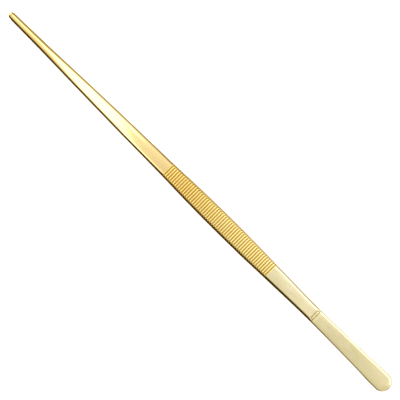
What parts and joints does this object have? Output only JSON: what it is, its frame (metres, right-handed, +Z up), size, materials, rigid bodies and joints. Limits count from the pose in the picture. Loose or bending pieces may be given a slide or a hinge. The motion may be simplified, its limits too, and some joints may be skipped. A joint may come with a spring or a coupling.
{
  "type": "aquascaping tweezers",
  "caption": "Long straight spring tweezers in gold-coloured steel, with a ribbed grip, a serrated jaw and two halves welded at the round heel.",
  "frame": {"origin": "bottom centre of the bounding box, on the surface that the open tool lies on", "axes": "+X along the tool from the round heel towards the tips, +Y across the width of the arms, +Z up from the lower arm to the upper arm"},
  "size_m": [0.3, 0.0112, 0.0206],
  "materials": {
    "gold_arm": "polished gold-coloured coating on stainless steel",
    "gold_tail": "satin gold-coloured coating on stainless steel",
    "weld_steel": "fused steel"
  },
  "bodies": {
    "heel": {"upper_heel": "gold_tail", "lower_heel": "gold_tail", "weld_nuggets": "weld_steel"},
    "upper_jaw": {"upper_arm": "gold_arm"},
    "lower_jaw": {"lower_arm": "gold_arm"}
  },
  "joints": [
    {"name": "squeeze", "type": "hinge", "parent": "heel", "child": "upper_jaw", "pos_m": [-0.114, 0, 0.01177], "axis": [0, 1, 0], "range_deg": [0, 1.85], "stiffness_Nm_per_rad": 9},
    {"name": "squeeze_lower", "type": "hinge", "parent": "heel", "child": "lower_jaw", "pos_m": [-0.114, 0, 0.00885], "axis": [0, 1, 0], "range_deg": [-1.85, 0], "stiffness_Nm_per_rad": 9}
  ],
  "couplings": [
    {"joint": "squeeze_lower", "follows": "squeeze", "ratio": -1}
  ]
}
